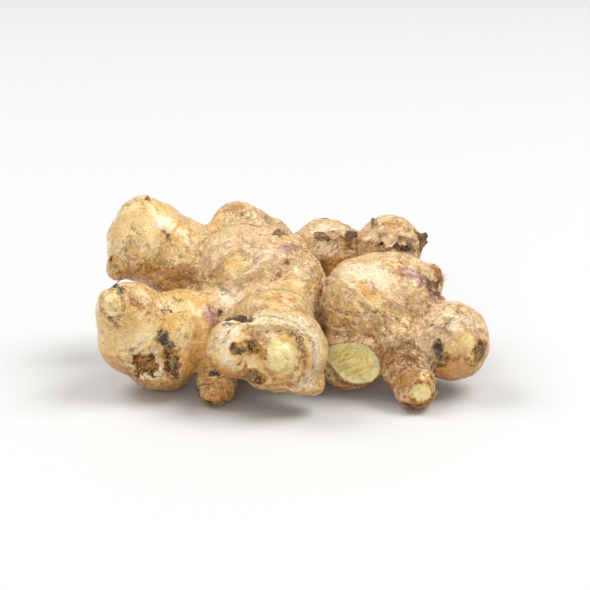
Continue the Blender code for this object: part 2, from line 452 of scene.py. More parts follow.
# %% List the marks
# A mark: its kind, the knuckle and direction it is placed from, its half-sizes in millimetres,
# how far it is turned in degrees, and how strong it is.
Mark = namedtuple(
    "Mark", "kind knuckle azimuth elevation wide tall turn strength", defaults=(0, 1.0)
)
MARKS = [
    # The upper left finger: cream with painted highlights above, brown painted shade below, with a
    # bud at its left.
    Mark("bare", "upper left finger", 30, 50, 8, 6),
    # The pale marks on the tops of the knuckles are cream skin under painted highlights.
    Mark("pale", "upper left finger", 22, 47, 5, 3.5),
    Mark("pale", "upper left finger", -45, 5, 4, 6, 0, 0.7),
    Mark("pale", "front left finger", -20, 12, 7, 3, 20, 0.7),
    Mark("pale", "left mother piece", 10, 42, 8, 3, 35, 0.8),
    Mark("pale", "left back knob", 20, 55, 6, 3),
    Mark("pale", "right knob", -15, 55, 5, 3, 0, 0.8),
    Mark("bare", "upper left finger", 108, 78, 2.4, 1.2),
    Mark("papery", "upper left finger", -48, 24, 6, 7),
    Mark("papery", "upper left finger", 80, 30, 5, 4),
    Mark("dirt", "upper left finger", -36, -8, 6, 5, 0, 0.5),
    Mark("soot", "upper left finger", -64, 56, 3.4, 1.3, 25, 0.6),
    Mark("scab", "upper left finger", -39, 79, 1.6, 0.9),
    Mark("soot", "upper left finger", 23, 26, 1.2, 2.4, 20, 0.8),
    Mark("soot", "upper left finger", 89, 17, 0.7, 0.7),
    Mark("soot", "upper left finger", -34, 8, 1.6, 0.6, -50, 0.7),
    Mark("stain", "upper left finger", -52, -9, 3.0, 3.0),
    Mark("scab", "upper left finger", -56, -8, 1.2, 1.6),
    # Painted shade under the overhanging finger, as brown stain and dirt.
    Mark("stain", "upper left finger", 15, -19, 11, 3.5, 0, 0.75),
    Mark("stain", "upper left finger", 37, -20, 8, 4.5, 0, 0.8),
    Mark("dirt", "upper left finger", 30, -14, 8, 5, 0, 0.4),
    # The front left finger: the cleanest skin, with a bud on top and old scabs in front.
    Mark("bud", "front left finger", -44, 41, 3.3, 4.4),
    Mark("bare", "front left finger", -16, 24, 6.5, 4.5),
    Mark("bare", "front left finger", -60, 5, 7, 10),
    Mark("gold", "front left finger", 54, -4, 4.5, 11),
    Mark("stain", "front left finger", -27, 57, 6.5, 2.6, -40, 0.9),
    Mark("stain", "front left finger", -50, 52, 5.0, 2.0, 10, 0.8),
    Mark("soot", "front left finger", -60, 55, 3.6, 1.5, 30),
    Mark("soot", "front left finger", -85, 52, 3.0, 2.0),
    Mark("scab", "front left finger", -27, 51, 2.0, 0.9, -20, 0.8),
    Mark("soot", "front left finger", -49, 30, 0.5, 1.4),
    Mark("soot", "front left finger", -41, 26, 3.2, 2.0, -30, 0.45),
    Mark("soot", "front left finger", 33, 50, 2.6, 1.6, -30, 0.6),
    Mark("soot", "front left finger", 67, 59, 3.4, 1.1, -10, 0.6),
    Mark("crater", "front left finger", -11, -24, 5.8, 5.6),
    Mark("pale", "front left finger", 10, -24, 1.1, 5.0, 0, 1.2),
    Mark("soot", "front left finger", 13, 18, 2.2, 3.0, 0, 1.0),
    Mark("soot", "front left finger", 22, 6, 3.4, 2.4, -20, 0.9),
    Mark("scab", "front left finger", 24, -14, 3.4, 7.2, 6, 1.15),
    Mark("soot", "front left finger", 28, -22, 1.6, 3.6, 10, 0.9),
    Mark("papery", "neck", 0, 60, 7, 4),
    Mark("pink", "neck", -18, 34, 1.5, 3.0, -20, 1.2),
    Mark("pink", "neck", -2, 24, 1.6, 3.0, -20, 1.2),
    Mark("hole", "neck", 4, 31, 0.8, 1.7, -25),
    Mark("pale", "neck", 40, 51, 6.0, 4.6),
    Mark("bare", "neck", -40, 40, 5, 4),
    Mark("soot", "neck", 17, 66, 0.6, 0.6),
    # The small foot: all old skin.
    Mark("soot", "small foot", -8, 46, 2.4, 1.8),
    Mark("scab", "small foot", -63, -14, 1.3, 3.4),
    Mark("scab", "small foot", -5, -45, 4.5, 1.6),
    Mark("gold", "small foot", 25, -10, 7, 7),
    Mark("stain", "small foot", -20, 25, 6, 5, 0, 0.8),
    # The front stump: an old broken end with a new bud in the middle of its rims.
    Mark("papery", "front stump", -72, 10, 3.5, 7),
    Mark("bare", "front stump", -30, 0, 9, 7),
    Mark("pale", "front stump", -20, 38, 5, 2.2, 0, 0.8),
    Mark("pale", "front stump", -66, 20, 3, 6, 0, 0.8),
    Mark("bare", "front stump", 8, 20, 8, 5),
    Mark("bare", "front stump", 5, -20, 8, 5),
    Mark("stain", "front stump", -47, 38, 5.0, 2.0, 0, 0.8),
    Mark("stain", "front stump", -25, 30, 4.0, 2.4, 0, 0.8),
    Mark("scab", "front stump", -53, 12, 2.9, 2.2, 0, 1.2),
    Mark("soot", "front stump", -50, 9, 2.2, 1.5, 0, 1.0),
    Mark("scab", "front stump", -34, 17, 4.4, 2.6, -25, 1.2),
    Mark("soot", "front stump", -52, -9, 0.8, 0.8),
    Mark("scab", "front stump", -42, -29, 4.6, 2.8, -20, 1.2),
    Mark("soot", "front stump", -48, -30, 2.8, 1.8, -20, 1.0),
    Mark("bare", "front stump", -60, -5, 6, 6),
    Mark("bare", "front stump", -62, 35, 5, 4),
    Mark("dirt", "front stump", 31, 2, 2.0, 8),
    Mark("soot", "front stump", -77, 29, 2.2, 1.1, 20, 0.8),
    Mark("soot", "front stump", -79, 40, 2.4, 1.1, 10, 1.0),
    Mark("soot", "front stump", -74, 52, 2.2, 0.9, 10, 0.9),
    Mark("pale", "front stump", 42, -47, 4, 4),
    # The left mother piece.
    Mark("papery", "left mother piece", -30, 56, 9, 6),
    Mark("dirt", "left mother piece", -60, 62, 8, 5, 0, 0.45),
    Mark("bare", "left mother piece", -126, 37, 2.6, 3.8),
    Mark("bare", "left mother piece", -27, 31, 4.0, 4.0),
    Mark("bare", "left mother piece", 37, 9, 4.0, 4.6),
    Mark("gold", "left mother piece", 18, 4, 6.0, 3.0),
    Mark("dirt", "left mother piece", -152, 60, 4.5, 2.4, 0, 0.8),
    Mark("pink", "left mother piece", 57, 44, 5.4, 1.6, -15, 1.3),
    Mark("pink", "left mother piece", 100, 66, 4.0, 0.8, -30),
    Mark("pink", "left mother piece", 1, 40, 4.2, 0.9, 42, 1.1),
    Mark("pink", "left mother piece", 37, 29, 1.8, 1.0, 0, 0.9),
    Mark("pink", "left mother piece", 24, 19, 3.0, 0.8, 42, 0.9),
    Mark("hole", "left mother piece", 41, 31, 0.9, 0.7),
    Mark("scab", "left mother piece", 62, 62, 0.9, 0.6),
    Mark("stain", "left mother piece", 60, 5, 2.5, 8, 0, 0.5),
    Mark("stain", "back finger", -46, 66, 5, 3, 0, 0.8),
    Mark("bare", "back finger", -70, 10, 5, 8),
    # The right mother piece.
    # Cream skin under painted highlights on top of the right mother piece.
    Mark("pale", "right mother piece", -17, 55, 10, 5),
    Mark("pale", "right mother piece", 20, 42, 6, 4, -35),
    Mark("bare", "right mother piece", 1, 20, 4.6, 1.9, -32),
    Mark("bare", "right mother piece", -16, 36, 4.0, 1.4, -32),
    Mark("pink", "right mother piece", 61, 41, 5.0, 2.0, -50, 0.9),
    Mark("pink", "right mother piece", 64, 27, 6.0, 3.0, -52, 1.1),
    Mark("pink", "right mother piece", 72, 12, 4.5, 2.8, -52, 1.1),
    Mark("stain", "right mother piece", 38, 48, 6, 3.5, -30, 0.65),
    Mark("scab", "right mother piece", 65, 53, 1.0, 0.8),
    Mark("dirt", "right mother piece", 42, 13, 7.5, 4.0, -20, 0.4),
    Mark("stain", "right mother piece", 62, 5, 5, 3, -30, 0.7),
    Mark("soot", "right mother piece", 5, 9, 0.6, 0.5),
    # The knobs behind and to the right.
    Mark("pink", "left back knob", 101, 45, 4, 2.0, 0, 0.7),
    Mark("pink", "left back knob", 14, 10, 5, 3, 0, 0.35),
    Mark("pale", "left back knob", 0, 14, 7, 4, 0, 0.9),
    Mark("stain", "left back knob", 50, 18, 4, 2.0, 0, 0.9),
    Mark("soot", "left back knob", 50, 10, 2.2, 1.2, -20, 0.8),
    Mark("soot", "right back knob", -5, 25, 8.0, 1.7, -12, 0.85),
    Mark("soot", "right back knob", 30, 13, 3.6, 1.6, -10),
    Mark("pale", "right back knob", -50, 40, 4, 3),
    Mark("stain", "right back knob", -10, 58, 6, 3, 0, 0.7),
    Mark("scab", "right back knob", 72, 20, 1.8, 4.5, 0, 0.9),
    Mark("stain", "right back knob", 75, 0, 3.5, 4.5, 0, 0.8),
    Mark("scab", "broken stub", 45, 40, 5.0, 6.0, 0, 0.75),
    Mark("papery", "right knob", 0, 30, 12, 9, 0, 1.3),
    Mark("torn", "right knob", 8, 13, 7.5, 3.4, 8, 1.15),
    Mark("torn", "right knob", 25, 20, 2.2, 5.0, 25, 1.1),
    Mark("gold", "right knob", 2, -24, 7, 4),
    Mark("soot", "right knob", -25, 2, 2.2, 4.4, 15, 1.1),
    Mark("scab", "right knob", -14, -6, 2.2, 2.4, 0, 1.0),
    Mark("dirt", "right knob", -57, 14, 3.5, 8),
    Mark("stain", "right knob", -50, 10, 3.5, 8, 0, 0.5),
    Mark("scab", "right knob", 43, -4, 4.0, 4.2, 0, 1.2),
    Mark("soot", "right knob", 47, -7, 2.6, 2.8, 0, 1.1),
    Mark("stain", "right knob", 40, 24, 3, 3, 0, 0.7),
    Mark("gold", "front toe", 20, 0, 6, 7),
    Mark("stub", "front toe", 12, -10, 4.2, 3.9),
    Mark("scab", "front toe", -4, -41, 6.0, 1.5),
    Mark("dirt", "front toe", -64, 50, 7, 6, 0, 0.5),
    Mark("soot", "front toe", -93, 50, 2.4, 1.6, 0, 0.5),
    Mark("stain", "front toe", -57, 35, 8, 7, 0, 0.9),
    Mark("stain", "front toe", -20, 20, 7, 6, 0, 0.6),
    Mark("stain", "front toe", -90, 10, 7, 8, 0, 0.9),
    Mark("stain", "cut branch", 0, -60, 10, 4, 0, 0.9),
    # The hidden back has the same kinds of marks.
    Mark("bud", "left back foot", 170, -20, 3.6, 3.6),
    Mark("crater", "left back foot", -150, 10, 5, 4),
    Mark("bare", "left back foot", 150, 30, 8, 7),
    Mark("bud", "right back foot", 160, -22, 3.4, 3.4),
    Mark("soot", "right back foot", -170, 25, 4, 2, 0, 0.8),
    Mark("bare", "right back foot", 120, 20, 6, 7),
    Mark("crater", "upper left finger", 170, 0, 5.5, 4.5),
    Mark("papery", "upper left finger", -120, 20, 9, 8),
    Mark("pink", "upper left finger", 150, 35, 6, 1.6, 20, 0.8),
    Mark("scab", "left back knob", 170, 20, 4, 2.4),
    Mark("crater", "right back knob", 150, 15, 4.5, 4),
    Mark("soot", "right knob", 140, 20, 4, 2),
    Mark("pink", "right mother piece", 150, 35, 6, 1.4, 10, 0.8),
    Mark("stain", "left mother piece", 170, 20, 8, 5, 0, 0.6),
]
print("marks:", len(MARKS))

# %% Carve and paint the marks
def bud_shape(distance, angle):
    """A pale dome sunk in a moat, with two folds of skin turned round it like a snail."""
    turned = distance + 0.10 * np.sin(angle)
    dome = 0.9 * np.sqrt(np.clip(1.0 - turned**2, 0.0, 1.0))
    moat = -0.5 * np.exp(-(((turned - 1.08) / 0.13) ** 2))
    rolls = sum(0.55 * np.exp(-(((turned - at) / 0.12) ** 2)) for at in (1.36, 1.78))
    return dome + moat + rolls


# How each plain mark changes the layers: which one, and by how much where it is full.
PAINTS = {
    "bare": {"film": -1.3},
    "gold": {"film": -1.3, "under": 0.8},
    "torn": {"film": -1.5, "under": 0.7, "flesh": 0.36},
    "papery": {"film": 0.7},
    # Pale is cream skin; on lit tops and lips it is a painted highlight.
    "pale": {"pale": 1.0, "film": 0.3, "stain": -0.5, "dirt": -0.3},
    "dirt": {"dirt": 0.75},
    "stain": {"stain": 1.0},
    "pink": {"pink": 1.0},
    "scab": {"scab": 1.0, "dirt": 0.3},
    "soot": {"soot": 1.0, "dirt": 0.3},
    "hole": {"soot": 1.0},
}
# These kinds fade out over a wide edge. The others end within a few tenths of their size.
SOFT_KINDS = ("bare", "gold", "papery", "pale", "dirt", "stain", "pink")
SOFT_EDGE = (1.7, 0.3)
CRISP_EDGE = (1.35, 0.55)
RAGGED_EDGE = 0.55
# Heights and depths in millimetres: of each crust, of the crumbs on it, and of the hollows.
SCAB_RISE, SCAB_CRUMBS = 0.10, 0.75
SOOT_RISE, SOOT_CRUMBS = 0.05, 0.45
HOLE_DEPTH = 1.1
CRATER_LIP, CRATER_DEPTH, CRATER_CRUMBS = 1.3, 1.2, 1.6
STUB_LIP, STUB_DEPTH = 0.6, 0.5

for mark in MARKS:
    marked = spot(mark.knuckle, mark.azimuth, mark.elevation, mark.turn)
    facing = step(outwards @ marked.out, 0.0, 0.35)
    reach = around(marked, mark.wide, mark.tall)
    broken = reach + RAGGED_EDGE * ragged
    start, end = SOFT_EDGE if mark.kind in SOFT_KINDS else CRISP_EDGE
    cover = step(broken, start, end) * facing * mark.strength
    for name, amount in PAINTS.get(mark.kind, {}).items():
        layer[name] += amount * cover
    if mark.kind == "scab":
        carve += cover * (SCAB_RISE + SCAB_CRUMBS * crumbs)
    elif mark.kind == "soot":
        carve += cover * (SOOT_RISE + SOOT_CRUMBS * crumbs)
    elif mark.kind == "hole":
        carve -= HOLE_DEPTH * cover
    elif mark.kind == "crater":
        lip = np.exp(-(((broken - 1.02) / 0.21) ** 2)) * facing
        pit = step(broken, 1.0, 0.75) * facing
        carve += CRATER_LIP * lip - pit * (CRATER_DEPTH + CRATER_CRUMBS * crumbs)
        core = step(broken, 0.65, 0.25)
        layer["scab"] += pit * (1.25 - 1.10 * core)
        layer["pale"] += 1.5 * lip
        layer["stain"] += 0.9 * step(broken, 1.25, 0.8) * (1.0 - lip) * facing
    elif mark.kind == "stub":
        edge = reach + 0.25 * ragged
        lip = np.exp(-(((edge - 1.05) / 0.10) ** 2)) * facing
        face = step(edge, 1.0, 0.85) * facing
        carve += STUB_LIP * lip - STUB_DEPTH * face
        layer["flesh"] += 0.9 * face
        layer["scab"] += 0.9 * lip
    elif mark.kind == "bud":
        from_bud = points - marked.point
        angle = np.arctan2(from_bud @ marked.up, from_bud @ marked.across)
        carve += bud_shape(reach, angle) * facing * step(reach, 2.3, 1.9)
        layer["flesh"] += step(broken, 1.40, 0.60) * facing
        layer["dirt"] -= step(reach, 1.12, 0.85) * facing
        layer["stain"] += 0.7 * np.exp(-(((reach - 1.35) / 0.30) ** 2)) * facing
print("scab share", layer["scab"].mean().round(3), "soot share", layer["soot"].mean().round(3))

# %% [markdown]
# ## The old broken end
# The stump in front broke off its neighbour long ago. The wound healed as a sunken gold face
# inside rolled rims, and a new bud swells from it, right of the middle. A smaller swelling
# inside the bud is parted from it by one crescent fold.

# %% Shape the broken end
END_WIDE, END_TALL = 12.6, 10.2
SINK = 1.3
BUD_WIDE, BUD_TALL = 7.4, 9.4
BUD_RISE = 2.6
INNER_WIDE, INNER_TALL = 3.6, 4.8
INNER_SHIFT = (-1.3, -1.4)
CRESCENT_DEPTH = 1.1

end_face = spot("front stump", -8, 6)
end_reach = around(end_face, END_WIDE, END_TALL) + 0.25 * ragged
sunken = step(end_reach, 1.05, 0.80) * step(outwards @ end_face.out, 0.2, 0.6)
carve -= SINK * sunken
layer["film"] -= 1.1 * sunken
layer["dirt"] -= 0.4 * sunken
layer["stain"] += 0.05 * sunken
# A pale ring on the rolled rim round the end: a painted highlight.
layer["pale"] += 0.9 * np.exp(-(((end_reach - 1.32) / 0.20) ** 2))

new_bud = spot("front stump", 5, 4, 10)
from_bud = points - new_bud.point
across, up = from_bud @ new_bud.across, from_bud @ new_bud.up
on_end = (from_bud @ new_bud.out > -6.0) & (outwards @ new_bud.out > 0.2)
radius = np.hypot(across / BUD_WIDE, up / BUD_TALL) + 0.05 * ragged
dome = np.where(on_end, step(radius, 1.08, 0.10), 0.0)
inner_radius = np.hypot(
    (across - INNER_SHIFT[0]) / INNER_WIDE, (up - INNER_SHIFT[1]) / INNER_TALL
)
right_side = step(across - 0.4 * up, -1.5, 2.0)
crescent = np.exp(-(((inner_radius - 1.0) / 0.16) ** 2)) * right_side * (dome > 0.2)
carve += BUD_RISE * dome - CRESCENT_DEPTH * crescent
layer["flesh"] += 1.1 * step(dome, 0.0, 0.75)
layer["dirt"] -= step(dome, 0.0, 0.3)
layer["stain"] += 0.45 * crescent
rim_right = np.exp(-(((radius - 1.22) / 0.14) ** 2)) * right_side * on_end
layer["stain"] += 0.8 * rim_right
layer["dirt"] += 0.6 * rim_right
print("broken end at", end_face.point.round(1), "bud at", new_bud.point.round(1))

# %% [markdown]
# ## Wrinkles
# As it dries, the skin shrinks into fine folds that run around each finger, side by side with
# the rings. `along` grows with distance from the tip, so noise that changes fast with it and
# slowly in every other direction makes just such folds. The absolute value of a noise turns
# its zero lines into sharp valleys between round ridges, as in a wrinkled cloth.

# %% Wrinkle the skin
# Two sizes of wrinkle: width in millimetres, how much longer than wide, seed, and depth.
WRINKLES = ((4.4, 2.6, 1, 2.4), (2.1, 3.0, 2, 0.9))
# The folds' mean height is taken off again, so that they don't thicken the finger.
WRINKLE_LEVEL = 0.15
LUMP_HEIGHT, BUMP_HEIGHT = 0.55, 0.22


def wrinkle_bands(size, stretch, seed):
    """Noise in bands across the growth: this wide along it, and stretched around it."""
    shift = Vector((3.7, 11.9, 7.3)) * seed
    return np.array(
        [
            noise.noise(Vector(p) / (size * stretch) + Vector((0, 0, a / size)) + shift)
            for p, a in zip(points, along)
        ]
    )


wrinkled = np.clip(0.25 + 0.9 * dryness, 0.0, 1.0) * step(grain(9.0, seed=12), -0.5, 0.4)
wrinkled *= 1.0 - 0.8 * np.clip(layer["flesh"] + 0.5 * sunken, 0.0, 1.0)
for size, stretch, seed, depth in WRINKLES:
    carve += wrinkled * depth * (np.abs(wrinkle_bands(size, stretch, seed)) - WRINKLE_LEVEL)
carve += LUMP_HEIGHT * grain(6.5, seed=7)
carve += BUMP_HEIGHT * grain(2.6, seed=8) * (0.3 + dryness)
carved = blurred(carve, 1)
points += outwards * carved[:, None]
print("carved between", carved.min().round(2), "and", carved.max().round(2), "mm")

# %% [markdown]
# ## The knife cut
# One short branch was cut through. The knife left a flat face of pale wet flesh, and the skin
# round it dried back into a thin curled rim. Inside the cut's oval every point is brought onto
# the blade's plane. Round it, the skin is only drawn up towards the plane, so that it meets
# the cut in a sharp edge, and the very edge stands up a little. The face narrows to its left.

# %% Slice the cut flat
CUT_WIDE, CUT_TALL = 10.4, 8.0
CUT_TILT = -20
CUT_TAPER = 0.55
CUT_RIM = 0.45
CUT_REACH = 6.0
blade = np.array(Vector((-0.2, -0.97, -0.03)).normalized())
cut = spot("cut branch", 3, 12, CUT_TILT)
from_cut = points - cut.point
height = from_cut @ blade
along_blade = from_cut - height[:, None] * blade
length_share = along_blade @ cut.across / CUT_WIDE
taper = 1.0 + CUT_TAPER * np.clip(-length_share, 0.0, 1.0)
cut_distance = np.hypot(length_share, taper * (along_blade @ cut.up) / CUT_TALL)
cut_distance += 0.03 * ragged
reachable = (np.abs(height) < CUT_REACH) & (outwards @ blade > -0.1)
onto = np.where(height > 0, step(cut_distance, 1.12, 1.0), step(cut_distance, 1.35, 1.02))
points -= np.where(reachable, onto * height, 0.0)[:, None] * blade
rim = np.exp(-(((cut_distance - 1.04) / 0.045) ** 2)) * reachable
points += (rim * CUT_RIM)[:, None] * blade
layer["cut"] = np.where(reachable, step(cut_distance, 1.04, 0.98), 0.0)
layer["stain"] += 0.9 * rim
layer["stain"] += 0.7 * reachable * np.exp(-(((cut_distance - 1.2) / 0.12) ** 2))
print("cut face points:", int((layer["cut"] > 0.5).sum()), "at", cut.point.round(1))

# %% Set the skin down and write it back
# How far a point lies below the average of the skin round it shows the hollows, which get painted
# shade.
# More rounds of blurring reach further: seventeen reach about 2 mm, and two less than 1 mm.
WIDE_ROUNDS, CLOSE_ROUNDS = 17, 2
points[:, 2] = np.maximum(points[:, 2], 0.02)
skin.data.vertices.foreach_set("co", (points * MM).astype(np.float32).ravel())
skin.data.update()
skin.data.shade_smooth()

outwards = read(skin.data.vertex_normals, "vector", 3)
hollow = ((blurred(points, WIDE_ROUNDS) - points) * outwards).sum(axis=1)
fine_hollow = ((blurred(points, CLOSE_ROUNDS) - points) * outwards).sum(axis=1)
layer["hollow_shade"] = np.clip(0.35 + 0.8 * hollow + 3.2 * fine_hollow, 0.0, 1.1)
# Painted shade on skin that faces down, added to the layer that also holds the gold of bare patches.
layer["under"] += step(outwards[:, 2], 0.25, -0.75)
print("hollow from", hollow.min().round(2), "to", hollow.max().round(2), "mm")

# %% Store the layers on the mesh
def store(name, values):
    attribute = skin.data.attributes.new(name, "FLOAT", "POINT")
    attribute.data.foreach_set("value", values.astype(np.float32))


for name in LAYERS:
    store(name, np.clip(blurred(layer[name], 1), -1.0, 1.5))
store("line", np.clip(line_distance, -FOLD_REACH, FOLD_REACH))
store("line_strength", blurred(line_strength, 1))
store("along", along)
store("cut_distance", np.clip(cut_distance, 0.0, 2.0))
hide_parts("rhizome")
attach(skin, "root")

# %% [markdown]
# ## The material of the skin
# Ginger skin is a thin film of cork and dried cell walls over wet flesh. Young skin is waxy,
# slightly see-through and glossy; where the film has dried it is papery and dull. The colours
# go on in the order in which they lie: the flesh's own tones first, then the film, stains,
# flushes and dirt, and last the crusts. Painted highlights on tops and lips, and painted shade
# on undersides and in hollows, go on among them. One function adds any node.

# %% Helpers for materials
def linear(code):
    """A hex colour such as E3C9A0 as the linear colour that a shader takes."""
    values = [int(code[i : i + 2], 16) / 255 for i in (0, 2, 4)]
    return (*[v / 12.92 if v <= 0.04045 else ((v + 0.055) / 1.055) ** 2.4 for v in values], 1.0)


def add(nodes, kind, inputs=None, **settings):
    """Add a node with its settings. An input is a plain value, or another node's output."""
    made = nodes.new(kind)
    for name, value in settings.items():
        setattr(made, name, value)
    for key, value in (inputs or {}).items():
        if isinstance(value, bpy.types.NodeSocket):
            nodes.id_data.links.new(value, made.inputs[key])
        else:
            made.inputs[key].default_value = value
    return made


def new_material(name):
    material = bpy.data.materials.new(name)
    material.use_nodes = True
    nodes = material.node_tree.nodes
    return material, nodes, nodes["Principled BSDF"]


# %% Patterns of the skin
# A film of cork that grew and dried on wet flesh. The eye sees cream and gold patches with a
# soft sheen where the film is thin, and dull tan paper, brown crumbs and specks where it isn't.
skin_material, nodes, shader = new_material("ginger skin, dried cork film over waxy flesh")
skin_place = add(nodes, "ShaderNodeTexCoord").outputs["Object"]
field = {
    name: add(nodes, "ShaderNodeAttribute", attribute_name=name).outputs["Fac"]
    for name in (*LAYERS, "line", "line_strength", "along", "cut_distance")
}

# Bands across the growth: the distance along the finger counts in full, the place only a little.
STREAK_SPACING = 1.5
STREAK_LENGTH = 5.5
lengthways = add(
    nodes, "ShaderNodeMath", {0: field["along"], 1: 1 / STREAK_SPACING}, operation="MULTIPLY"
).outputs[0]
sideways = add(
    nodes, "ShaderNodeVectorMath", {0: skin_place, "Scale": 1 / (STREAK_LENGTH * MM)},
    operation="SCALE",
).outputs[0]
band_place = add(
    nodes, "ShaderNodeVectorMath", {0: sideways, 1: lengthways}, operation="ADD"
).outputs[0]

# Each pattern: where it is read, its real size in millimetres, detail, roughness and distortion.
# Raw noise stays near one half, so each is stretched until it runs from 0 to 1.
Pattern = namedtuple("Pattern", "place size detail roughness distortion")
PATTERNS = {
    "blotch": Pattern(skin_place, 7.0 * MM, 3.0, 0.55, 0.3),
    "flake": Pattern(skin_place, 3.6 * MM, 5.0, 0.62, 1.2),
    "mottle": Pattern(skin_place, 2.0 * MM, 4.0, 0.65, 0.4),
    "crumb": Pattern(skin_place, 0.85 * MM, 3.0, 0.6, 0.2),
    "grit": Pattern(skin_place, 0.42 * MM, 2.0, 0.6, 0.0),
    "streak": Pattern(band_place, 1.0, 5.0, 0.65, 0.8),
}
LEAST, MOST = 0.34, 0.66
pattern = {}
for name, kind in PATTERNS.items():
    raw = add(
        nodes, "ShaderNodeTexNoise",
        {
            "Vector": kind.place, "Scale": 1 / kind.size, "Detail": kind.detail,
            "Roughness": kind.roughness, "Distortion": kind.distortion,
        },
    ).outputs["Fac"]
    pattern[name] = add(
        nodes, "ShaderNodeMapRange", {"Value": raw, "From Min": LEAST, "From Max": MOST}
    ).outputs["Result"]
print("patterns:", sorted(pattern))

# %% Colours of the skin
# Each coat: the layer and how much it counts, two patterns and how much they count, where its
# edge starts and ends, its two colours, which the second pattern mixes, and how much it covers.
Coat = namedtuple("Coat", "layer weight coarse share fine fine_share start end thin thick cover")
COATS = [
    Coat("film", 0.9, "flake", 0.9, "mottle", 0.4, 0.78, 0.94, "EDCCA0", "CA9A68", 0.82),
    Coat("film", 0.8, "streak", 0.7, "mottle", 0.5, 1.20, 1.80, "CC9C68", "A4743E", 0.50),
    # Cream skin, and painted highlights.
    Coat("pale", 1.0, "flake", 0.5, "mottle", 0.4, 0.80, 1.40, "FCEBCB", "F2D4A4", 0.90),
    # Gold of bare patches, and painted shade on skin that faces down.
    Coat("under", 1.0, "blotch", 0.4, "mottle", 0.4, 0.40, 1.50, "E8A244", "B07020", 0.80),
    Coat("stain", 1.0, "mottle", 0.6, "crumb", 0.5, 0.70, 1.50, "CC8838", "8E5418", 0.78),
    Coat("pink", 1.0, "streak", 0.9, "crumb", 0.3, 0.85, 1.40, "CC9080", "8A4654", 0.80),
    Coat("flesh", 1.0, "blotch", 0.3, "mottle", 0.2, 0.30, 1.10, "FDEDB4", "F2D47C", 0.92),
    # Painted shade in the hollows.
    Coat("hollow_shade", 1.0, "mottle", 0.4, "crumb", 0.3, 0.90, 1.50, "B4742C", "74441A", 0.82),
    # Cream flecks on the film, painted as highlights where flakes would catch the light.
    Coat("film", 0.4, "flake", 0.8, "crumb", 0.5, 0.95, 1.20, "FFEFD2", "F5DAB0", 0.60),
    Coat("dirt", 1.0, "mottle", 0.5, "crumb", 0.8, 1.24, 1.62, "A87634", "6A431C", 0.80),
    Coat("scab", 1.1, "flake", 0.4, "mottle", 0.6, 0.75, 1.15, "DA9C50", "7C4618", 0.92),
    Coat("scab", 1.0, "flake", 0.9, "mottle", 0.6, 1.60, 1.95, "5C3617", "2E1B0D", 0.90),
    Coat("soot", 1.1, "mottle", 0.5, "crumb", 0.6, 0.85, 1.25, "A38A68", "66543E", 0.90),
    Coat("soot", 1.0, "flake", 0.8, "crumb", 0.6, 1.40, 1.85, "4A3B2A", "282018", 0.90),
]
# Pale grains on the crusts go on last of all.
PALE_GRIT = Coat("scab", 1.0, "crumb", 0.6, "grit", 0.7, 1.85, 2.15, "E6C690", "CFA468", 0.60)
colour = add(
    nodes, "ShaderNodeMix",
    {0: pattern["blotch"], 6: linear("F8DA9A"), 7: linear("E4B263")}, data_type="RGBA",
).outputs[2]
film_mask = None
for coat in (*COATS, PALE_GRIT):
    layered = add(
        nodes, "ShaderNodeMath", {0: field[coat.layer], 1: coat.weight}, operation="MULTIPLY"
    ).outputs[0]
    for name, share in ((coat.coarse, coat.share), (coat.fine, coat.fine_share)):
        layered = add(
            nodes, "ShaderNodeMath", {0: pattern[name], 1: share, 2: layered},
            operation="MULTIPLY_ADD",
        ).outputs[0]
    mask = add(
        nodes, "ShaderNodeMapRange",
        {"Value": layered, "From Min": coat.start, "From Max": coat.end, "To Max": coat.cover},
        interpolation_type="SMOOTHSTEP",
    ).outputs["Result"]
    paint = add(
        nodes, "ShaderNodeMix",
        {0: pattern[coat.fine], 6: linear(coat.thin), 7: linear(coat.thick)}, data_type="RGBA",
    ).outputs[2]
    colour = add(
        nodes, "ShaderNodeMix", {0: mask, 6: colour, 7: paint}, data_type="RGBA"
    ).outputs[2]
    if coat.layer == "film" and film_mask is None:
        film_mask = mask
print("coats:", len(COATS) + 1)

# %% Fine lines of the scars and folds
# A thin dark line, less than half a millimetre to each side, which comes, goes and wobbles.
LINE_WIDTH = 0.40
LINE_WOBBLE = 0.5
wobble = add(
    nodes, "ShaderNodeMath", {0: pattern["crumb"], 1: LINE_WOBBLE, 2: -0.5 * LINE_WOBBLE},
    operation="MULTIPLY_ADD",
).outputs[0]
past_line = add(nodes, "ShaderNodeMath", {0: field["line"], 1: wobble}, operation="ADD").outputs[0]
off_line = add(nodes, "ShaderNodeMath", {0: past_line}, operation="ABSOLUTE").outputs[0]
line = add(
    nodes, "ShaderNodeMapRange",
    {"Value": off_line, "From Min": LINE_WIDTH, "From Max": 0.05, "To Max": 0.95},
    interpolation_type="SMOOTHSTEP",
).outputs["Result"]
dashes = add(
    nodes, "ShaderNodeMapRange", {"Value": pattern["mottle"], "From Min": 0.15, "From Max": 0.75}
).outputs["Result"]
for share in (field["line_strength"], dashes):
    line = add(nodes, "ShaderNodeMath", {0: line, 1: share}, operation="MULTIPLY").outputs[0]
colour = add(
    nodes, "ShaderNodeMix", {0: line, 6: colour, 7: linear("643C18")}, data_type="RGBA"
).outputs[2]

